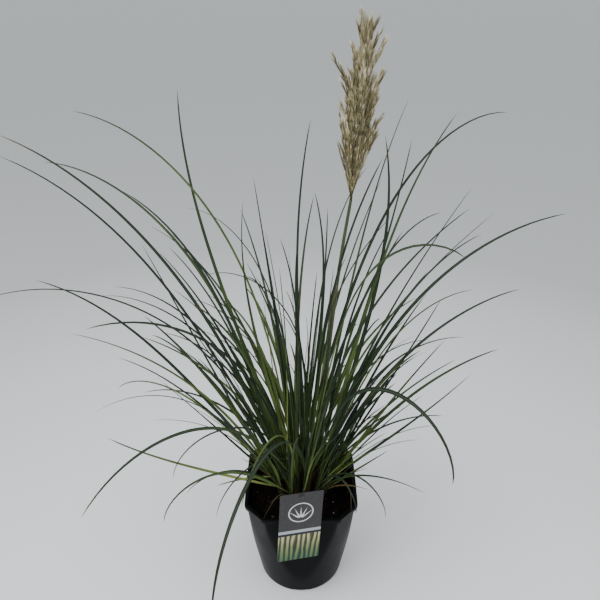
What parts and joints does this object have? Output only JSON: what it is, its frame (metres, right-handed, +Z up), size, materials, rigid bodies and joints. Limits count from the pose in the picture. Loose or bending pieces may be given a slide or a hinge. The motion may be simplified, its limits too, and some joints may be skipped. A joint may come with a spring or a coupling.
{
  "type": "potted dwarf pampas grass",
  "caption": "Clump of long arching grass blades with one upright feathery plume, growing in a tapered black nursery pot with a square rim and a card label pinned in front.",
  "frame": {"origin": "middle of the underside of the pot, on the surface it stands on", "axes": "+Z up along the pot's axis, +X to the right seen from the labelled side, +Y away from the labelled side"},
  "size_m": [0.7298, 0.5882, 0.84],
  "materials": {
    "blades": "satin green grass blade with a paler midrib and dry tips",
    "pot_plastic": "glossy black injection-moulded plastic",
    "potting_soil": "rough dark peat with bark and white perlite",
    "cane": "smooth green cane with brownish joints",
    "plume": "silky straw-coloured flower plume",
    "label_card": "thin printed synthetic card",
    "pin_plastic": "black moulded plastic pin"
  },
  "bodies": {
    "root": {"shoot_01": "blades", "shoot_02": "blades", "shoot_03": "blades", "shoot_04": "blades", "shoot_05": "blades", "shoot_06": "blades", "shoot_07": "blades", "shoot_08": "blades", "shoot_09": "blades", "shoot_10": "blades", "shoot_11": "blades", "shoot_12": "blades", "shoot_13": "blades", "shoot_14": "blades", "shoot_15": "blades", "shoot_16": "blades", "shoot_17": "blades", "shoot_18": "blades", "shoot_19": "blades", "shoot_20": "blades", "shoot_21": "blades", "shoot_22": "blades", "shoot_23": "blades", "shoot_24": "blades", "shoot_25": "blades", "shoot_26": "blades", "shoot_27": "blades", "pot": "pot_plastic", "soil": "potting_soil", "culm": "cane", "plume": "plume", "label": "label_card", "label_pin": "pin_plastic"}
  },
  "joints": []
}
